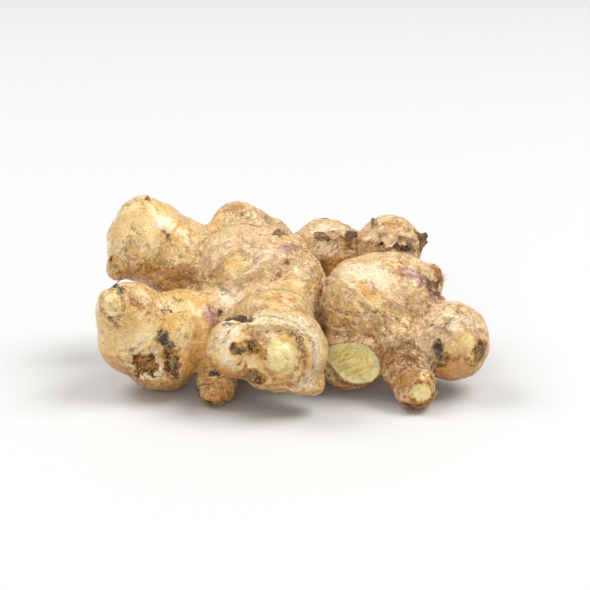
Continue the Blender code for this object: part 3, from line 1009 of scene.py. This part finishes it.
# %% Flesh of the cut
# Wet pale flesh with a paler band inside the skin, and in its middle fibres half a millimetre
# apart that the knife drew out to one side.
FIBRE_SPACING = 0.55
FIBRE_LENGTH = 5.0
FIBRE_TURN = math.radians(-38)
cut_fibre_place = add(
    nodes, "ShaderNodeMapping",
    {
        "Vector": skin_place, "Rotation": (0, FIBRE_TURN, 0),
        "Scale": (FIBRE_LENGTH * MM, 2 * MM, FIBRE_SPACING * MM),
    },
    vector_type="TEXTURE",
).outputs["Vector"]
fibres = add(
    nodes, "ShaderNodeTexNoise", {"Vector": cut_fibre_place, "Scale": 1.0, "Detail": 2.0}
).outputs["Fac"]
fibres = add(
    nodes, "ShaderNodeMapRange", {"Value": fibres, "From Min": 0.46, "From Max": 0.68}
).outputs["Result"]
fibre_zone = add(
    nodes, "ShaderNodeMapRange",
    {"Value": field["cut_distance"], "From Min": 0.85, "From Max": 0.45},
).outputs["Result"]
fibres = add(nodes, "ShaderNodeMath", {0: fibres, 1: fibre_zone}, operation="MULTIPLY").outputs[0]
flesh = add(
    nodes, "ShaderNodeMix",
    {0: fibres, 6: linear("FDE892"), 7: linear("C8A044")}, data_type="RGBA",
).outputs[2]
band = add(
    nodes, "ShaderNodeMapRange",
    {"Value": field["cut_distance"], "From Min": 0.66, "From Max": 0.80, "To Max": 0.8},
    interpolation_type="SMOOTHSTEP",
).outputs["Result"]
flesh = add(
    nodes, "ShaderNodeMix", {0: band, 6: flesh, 7: linear("FDEEAE")}, data_type="RGBA"
).outputs[2]
cut_mask = add(
    nodes, "ShaderNodeMapRange", {"Value": field["cut"], "From Min": 0.4, "From Max": 0.6}
).outputs["Result"]
colour = add(
    nodes, "ShaderNodeMix", {0: cut_mask, 6: colour, 7: flesh}, data_type="RGBA"
).outputs[2]

# %% Gloss and fine relief
# Thin film lies smooth and carries a coat of wax; dry film and crusts are rough and have none.
WAXY_ROUGHNESS, PAPERY_ROUGHNESS = 0.22, 0.78
WAX_COAT = 0.60
crust = add(
    nodes, "ShaderNodeMath", {0: field["scab"], 1: field["soot"]}, operation="MAXIMUM"
).outputs[0]
dull = add(
    nodes, "ShaderNodeMath", {0: film_mask, 1: 0.6, 2: crust}, operation="MULTIPLY_ADD"
).outputs[0]
roughness = add(
    nodes, "ShaderNodeMapRange", {"Value": dull, "To Min": WAXY_ROUGHNESS, "To Max": PAPERY_ROUGHNESS}
).outputs["Result"]

# The bumps lie on top of each other: each pattern with its depth in millimetres.
RELIEF = (
    (pattern["streak"], 0.30), (film_mask, 0.22), (pattern["flake"], 0.22),
    (pattern["mottle"], 0.20), (pattern["crumb"], 0.12), (line, -0.15),
)
relief = None
for height_map, depth in RELIEF:
    inputs = {"Height": height_map, "Distance": depth * MM, "Strength": 1.0}
    if relief is not None:
        inputs["Normal"] = relief
    relief = add(nodes, "ShaderNodeBump", inputs).outputs["Normal"]

wax = add(
    nodes, "ShaderNodeMapRange", {"Value": dull, "From Max": 0.6, "To Min": WAX_COAT, "To Max": 0.0}
).outputs["Result"]
for socket, value in (
    ("Base Color", colour), ("Roughness", roughness), ("Normal", relief), ("Coat Weight", wax),
):
    skin_material.node_tree.links.new(value, shader.inputs[socket])
# Plant wax bends light a little less than glass does. Light sinks in up to a millimetre and a
# half, the red of it furthest.
shader.inputs["IOR"].default_value = 1.43
shader.inputs["Coat Roughness"].default_value = 0.18
shader.inputs["Subsurface Weight"].default_value = 0.12
shader.inputs["Subsurface Radius"].default_value = (1.0, 0.55, 0.2)
shader.inputs["Subsurface Scale"].default_value = 1.6 * MM
skin.data.materials.clear()
skin.data.materials.append(skin_material)
print("skin material:", len(nodes), "nodes")

# %% [markdown]
# ## Dry scales
# The scale leaves that once wrapped the knuckles are left as torn brown flakes. Each is held
# along one edge and curls off the skin at the other. Such a flake is modelled as it grew: a
# flat sheet, torn to a ragged outline, laid on the skin, lifted at its free edge, and then
# given its thickness.

# %% Tear and lay one scale
SCALE_THICKNESS = 0.22
SCALE_STEPS = (60, 24)
Scale = namedtuple("Scale", "name knuckle azimuth elevation wide tall turn lift tone")
skin_tree = BVHTree.FromPolygons(
    [Vector(p) for p in points], [face.vertices[:] for face in skin.data.polygons]
)


def torn(u, v, seed):
    """True where the sheet is still there: u runs along it from -1 to 1, v from held to free."""
    free_edge = 0.70
    for pace, depth in ((1.3, 0.55), (4.0, 0.30), (11.0, 0.20)):
        free_edge += depth * noise.noise(Vector((pace * u, 0.6 * pace * v, seed + pace)))
    ends = 1.0 - 0.45 * abs(noise.noise(Vector((2.5 * v, seed, 9))))
    return v < free_edge * (1.15 - u * u) and abs(u) < ends


def lay_scale(scale, seed):
    """A torn sheet, held on the skin at one edge and lifted at the other."""
    held = spot(scale.knuckle, scale.azimuth, scale.elevation, scale.turn)
    bpy.ops.object.select_all(action="DESELECT")
    bpy.ops.mesh.primitive_grid_add(
        x_subdivisions=SCALE_STEPS[0], y_subdivisions=SCALE_STEPS[1], size=2.0, location=(0, 0, 0)
    )
    sheet = bpy.context.object
    sheet.name = scale.name
    bpy.ops.object.mode_set(mode="EDIT")
    bpy.ops.mesh.select_all(action="DESELECT")
    bpy.ops.object.mode_set(mode="OBJECT")
    for face in sheet.data.polygons:
        u, v = face.center.x, 0.5 + 0.5 * face.center.y
        face.select = not torn(u, v, seed)
    bpy.ops.object.mode_set(mode="EDIT")
    bpy.ops.mesh.delete(type="FACE")
    bpy.ops.object.mode_set(mode="OBJECT")
    for vertex in sheet.data.vertices:
        u, v = vertex.co.x, 0.5 + 0.5 * vertex.co.y
        flat = held.point + held.across * u * scale.wide
        flat = flat + held.up * (v - 0.3) * scale.tall * 2
        on_skin, normal = skin_tree.find_nearest(Vector(flat))[:2]
        ripple = 0.5 * noise.noise(Vector((3.0 * u, 2.0 * v, seed)))
        lift = SCALE_THICKNESS * 0.6 + scale.lift * (v * v * (1.0 + ripple) + 0.25 * abs(ripple))
        vertex.co = (on_skin + normal * lift) * MM
    apply_modifier(sheet, "SOLIDIFY", thickness=SCALE_THICKNESS * MM, offset=0.0)
    sheet.data.shade_smooth()
    tone = sheet.data.attributes.new("tone", "FLOAT", "POINT")
    tone.data.foreach_set("value", [scale.tone] * len(sheet.data.vertices))
    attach(sheet, "root")
    return sheet


# %% Lay all the scales
# Tone runs from 0 for tan to 1 for almost black.
SCALES = [
    Scale("scale_upper_left_tip", "upper left finger", -39, 79, 1.8, 1.0, 30, 1.2, 0.6),
    Scale("scale_front_left_top", "front left finger", -80, 55, 3.0, 1.4, 20, 1.0, 0.9),
    Scale("scale_mother_flake", "left mother piece", 75, 64, 3.8, 1.1, -35, 1.4, 0.6),
    Scale("scale_mother_edge", "left mother piece", 165, 50, 3.4, 1.4, 10, 1.0, 0.4),
    Scale("scale_stump_edge", "front stump", -78, 40, 6.2, 1.2, 14, 0.8, 0.95),
    Scale("sheath_left_a", "left back knob", -2, 40, 5.0, 2.0, 176, 1.8, 0.8),
    Scale("sheath_left_b", "left back knob", 32, 40, 4.8, 2.4, 180, 2.2, 0.3),
    Scale("sheath_left_c", "left back knob", 60, 30, 4.6, 2.2, 168, 2.2, 0.85),
    Scale("sheath_right_a", "right back knob", -42, 38, 5.4, 3.0, 170, 1.6, 0.2),
    Scale("sheath_right_b", "right back knob", -10, 36, 6.8, 3.6, 166, 2.2, 0.25),
    Scale("sheath_right_c", "right back knob", 0, 24, 6.8, 2.2, 166, 1.4, 0.9),
    Scale("sheath_right_d", "right back knob", 32, 24, 5.4, 3.0, 160, 2.2, 0.5),
    Scale("sheath_right_tip", "right back knob", -46, 48, 1.8, 1.6, 10, 2.0, 0.5),
    Scale("sheath_right_end", "right back knob", 72, 16, 4.4, 2.0, -90, 2.0, 0.85),
    Scale("scale_stub_edge", "right mother piece", 70, 17, 4.0, 2.6, -50, 2.6, 0.7),
    Scale("scale_stub_low", "right mother piece", 66, 24, 3.0, 1.6, -60, 1.0, 0.5),
    Scale("scale_knob_fold", "right knob", -38, 50, 6.0, 2.2, 196, 1.4, 0.1),
    Scale("scale_knob_low", "right knob", -30, -24, 4.0, 1.3, 15, 0.8, 0.5),
    Scale("scale_toe_end", "front toe", -4, -38, 4.6, 1.0, 180, 0.7, 0.8),
    Scale("scale_toe_side", "front toe", 42, -24, 1.8, 1.6, -70, 1.2, 0.6),
    Scale("scale_foot_end", "small foot", -17, -36, 3.4, 0.9, 180, 0.6, 0.75),
    Scale("scale_foot_side", "small foot", -62, -20, 1.6, 1.5, 60, 0.8, 0.7),
    Scale("scale_cut_rim", "cut branch", 4, -42, 6.5, 0.9, 178, 0.6, 0.55),
    Scale("scale_back_left", "left back foot", 175, 20, 7.0, 2.4, 0, 1.2, 0.5),
    Scale("scale_back_right", "right back foot", 165, 15, 7.0, 2.4, 5, 1.2, 0.6),
    Scale("scale_back_finger", "upper left finger", 155, 15, 5.0, 1.6, 15, 1.0, 0.5),
    Scale("scale_back_knob", "left back knob", 175, 25, 5.5, 2.0, -5, 1.1, 0.7),
]
scales = [lay_scale(scale, 5.3 * number) for number, scale in enumerate(SCALES)]
print("scales:", len(scales))

# %% Material of the scales
# Dead leaf that grew round the stem and dried on it. The eye sees dull paper, from tan to
# nearly black, darker where it has weathered, with crumpled veins. Dry cellulose bends light
# about as much as the shader's own 1.5.
scale_material, nodes, shader = new_material("dried scale leaf, fibrous and brittle")
leaf_place = add(nodes, "ShaderNodeTexCoord").outputs["Object"]
tone = add(nodes, "ShaderNodeAttribute", attribute_name="tone").outputs["Fac"]
# The real veins are finer than can show, so they are drawn as crumples this many millimetres
# wide, and the weathered patches are wider still.
VEIN_SIZE = 1.3
PATCH_SIZE = 3.5
AGE_SHARE = 1.6
veins = add(
    nodes, "ShaderNodeTexNoise",
    {
        "Vector": leaf_place, "Scale": 1 / (VEIN_SIZE * MM), "Detail": 5.0,
        "Roughness": 0.7, "Distortion": 1.5,
    },
).outputs["Fac"]
patches = add(
    nodes, "ShaderNodeTexNoise",
    {"Vector": leaf_place, "Scale": 1 / (PATCH_SIZE * MM), "Detail": 2.0},
).outputs["Fac"]
aged = tone
for look in (veins, patches):
    aged = add(
        nodes, "ShaderNodeMath", {0: look, 1: AGE_SHARE, 2: aged}, operation="MULTIPLY_ADD"
    ).outputs[0]
age_share = add(
    nodes, "ShaderNodeMapRange", {"Value": aged, "From Min": 1.35, "From Max": 2.75}
).outputs["Result"]
ramp = add(nodes, "ShaderNodeValToRGB", {"Fac": age_share})
RAMP_COLOURS = ((0.0, "E6CBA0"), (0.35, "B8966C"), (0.65, "76512F"), (1.0, "2E1D12"))
elements = ramp.color_ramp.elements
while len(elements) < len(RAMP_COLOURS):
    elements.new(0.5)
for element, (position, code) in zip(elements, RAMP_COLOURS):
    element.position = position
    element.color = linear(code)
relief = add(
    nodes, "ShaderNodeBump", {"Height": veins, "Distance": 0.3 * MM, "Strength": 1.0}
).outputs["Normal"]
scale_material.node_tree.links.new(ramp.outputs["Color"], shader.inputs["Base Color"])
scale_material.node_tree.links.new(relief, shader.inputs["Normal"])
shader.inputs["Roughness"].default_value = 0.72
for sheet in scales:
    sheet.data.materials.append(scale_material)
print("scale material:", len(nodes), "nodes")

# %% [markdown]
# ## Root fibres
# Where the hand tore off its neighbour, and where roots dried away, short stiff fibres are
# left. One fibre is modelled by extruding a small disc and tapering it as it goes; the others
# are copies of it, bent their own way, and each tuft is joined into one piece.

# %% Model one fibre
FIBRE_RADIUS = 0.11
FIBRE_JOINTS = 4
bpy.ops.object.select_all(action="DESELECT")
bpy.ops.mesh.primitive_circle_add(
    vertices=5, radius=FIBRE_RADIUS * MM, fill_type="NGON", location=(0, 0, 0)
)
fibre = bpy.context.object
fibre.name = "fibre"
bpy.ops.object.mode_set(mode="EDIT")
bpy.ops.mesh.select_all(action="SELECT")
for _ in range(FIBRE_JOINTS):
    bpy.ops.mesh.extrude_region_move(
        TRANSFORM_OT_translate={"value": (0, 0, MM / FIBRE_JOINTS)}
    )
    bpy.ops.transform.resize(value=(0.72, 0.72, 1.0))
bpy.ops.mesh.select_all(action="SELECT")
bpy.ops.mesh.normals_make_consistent(inside=False)
bpy.ops.object.mode_set(mode="OBJECT")
print("fibre:", len(fibre.data.polygons), "faces")

# %% Grow the tufts
# A tuft: its place, how far it spreads in millimetres, how many fibres, and how long they are.
Tuft = namedtuple("Tuft", "name knuckle azimuth elevation spread count length")
TUFTS = [
    Tuft("fibres_stub", "broken stub", 45, 40, 4.5, 70, 1.8),
    Tuft("fibres_stub_edge", "broken stub", 75, 20, 3.0, 30, 2.2),
    Tuft("fibres_sheath", "right back knob", 5, 8, 3.5, 14, 3.6),
    Tuft("fibres_knob", "right knob", -22, -14, 2.6, 14, 1.8),
    Tuft("fibres_stump", "front stump", -40, -38, 3.5, 16, 1.5),
    Tuft("fibres_toe", "front toe", -4, -36, 4.5, 14, 1.3),
    Tuft("fibres_cut_rim", "cut branch", 4, -40, 7.0, 26, 1.1),
    Tuft("fibres_back", "left back foot", 180, -10, 5.0, 24, 1.8),
]
# Torn strands of stem and root, dried like straw. The eye sees dull straw yellow that changes
# to brown from strand to strand.
TINT_SIZE = 1.5
fibre_material, nodes, shader = new_material("dry root fibre, straw-like")
strand_place = add(nodes, "ShaderNodeTexCoord").outputs["Object"]
tint = add(
    nodes, "ShaderNodeTexNoise",
    {"Vector": strand_place, "Scale": 1 / (TINT_SIZE * MM), "Detail": 3.0},
).outputs["Fac"]
straw = add(
    nodes, "ShaderNodeMix", {0: tint, 6: linear("E0C08A"), 7: linear("8A6236")}, data_type="RGBA"
).outputs[2]
fibre_material.node_tree.links.new(straw, shader.inputs["Base Color"])
shader.inputs["Roughness"].default_value = 0.65
chance = np.random.default_rng(7)

for tuft in TUFTS:
    rooted = spot(tuft.knuckle, tuft.azimuth, tuft.elevation)
    strands = []
    for number in range(tuft.count):
        strand = fibre.copy()
        strand.data = fibre.data.copy()
        bpy.context.scene.collection.objects.link(strand)
        aside, above = chance.uniform(-tuft.spread, tuft.spread, 2)
        root, normal = skin_tree.find_nearest(
            Vector(rooted.point + rooted.across * aside + rooted.up * above)
        )[:2]
        lean = Vector(chance.normal(0.0, 0.7, 3))
        bend = Vector(chance.normal(0.0, 0.5, 3))
        length = tuft.length * chance.uniform(0.5, 1.3)
        for vertex in strand.data.vertices:
            share = vertex.co.z / MM
            way = (normal + lean).normalized() * share * length
            way += bend * share * share * length * 0.5
            flat = Vector((vertex.co.x, vertex.co.y, 0)) / MM
            turned = normal.to_track_quat("Z", "X") @ flat
            vertex.co = (root - normal * 0.2 + way + turned) * MM
            vertex.co.z = max(vertex.co.z, 0.02 * MM)
        strands.append(strand)
    bpy.ops.object.select_all(action="DESELECT")
    for strand in strands:
        strand.select_set(True)
    bpy.context.view_layer.objects.active = strands[0]
    bpy.ops.object.join()
    strands[0].name = tuft.name
    strands[0].data.materials.append(fibre_material)
    strands[0].data.shade_smooth()
    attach(strands[0], "root")
bpy.data.objects.remove(fibre)
print("tufts:", len(TUFTS))

# %% [markdown]
# ## Floor, light and camera
# The hand lies on a white table in a white studio. Two wide soft boxes hang over it, one to
# each side, a weak one stands in front, and the white walls fill the rest, so its shadows are
# short and soft. The camera looks down on it at twenty degrees through a long lens.

# %% Floor
# A painted board, rubbed matt: plain white, with nothing to see on it but the soft shadows.
TABLE_SIZE = 12.0
bpy.ops.mesh.primitive_plane_add(size=TABLE_SIZE, location=(0, 0, 0))
table = bpy.context.object
table.name = "table"
table_material, nodes, shader = new_material("white board, matt")
shader.inputs["Base Color"].default_value = linear("CDCDCC")
shader.inputs["Roughness"].default_value = 0.6
table.data.materials.append(table_material)
print("table:", TABLE_SIZE, "m wide")

# %% Light
WALL_LIGHT = 0.55


def soft_box(name, place, size, power):
    lamp = bpy.data.lights.new(name, "AREA")
    lamp.size = size
    lamp.energy = power
    holder = bpy.data.objects.new(name, lamp)
    holder.location = place
    holder.rotation_euler = (-Vector(place)).to_track_quat("-Z", "Y").to_euler()
    bpy.context.scene.collection.objects.link(holder)


soft_box("left soft box", (-1.0, 0.35, 1.45), 1.0, 18.5)
soft_box("right soft box", (0.95, 0.10, 1.55), 1.0, 26.5)
soft_box("front soft box", (-0.35, -1.40, 0.50), 0.6, 5.0)
world = bpy.data.worlds.new("white studio")
bpy.context.scene.world = world
world.use_nodes = True
world.node_tree.nodes["Background"].inputs["Color"].default_value = (1, 1, 1, 1)
world.node_tree.nodes["Background"].inputs["Strength"].default_value = WALL_LIGHT
bpy.context.scene.view_settings.view_transform = "Standard"
print("lamps:", len(bpy.data.lights))

# %% Camera
AIM_SHARE = (0.505, 0.53, 0.457)
LOOK_DOWN = math.radians(20)
DISTANCE = 4.25 * BOX_SIZE.x
LENS, SENSOR = 100.0, 36.0
aim = Vector([LOW[axis] + AIM_SHARE[axis] * BOX_SIZE[axis] for axis in range(3)])
back = Vector((0, -math.cos(LOOK_DOWN), math.sin(LOOK_DOWN)))
camera = bpy.data.objects.new("camera", bpy.data.cameras.new("camera"))
bpy.context.scene.collection.objects.link(camera)
camera.location = aim + back * DISTANCE
camera.rotation_euler = (-back).to_track_quat("-Z", "Y").to_euler()
camera.data.lens = LENS
camera.data.sensor_width = SENSOR
bpy.context.scene.camera = camera
print("camera at", tuple(round(v, 3) for v in camera.location))
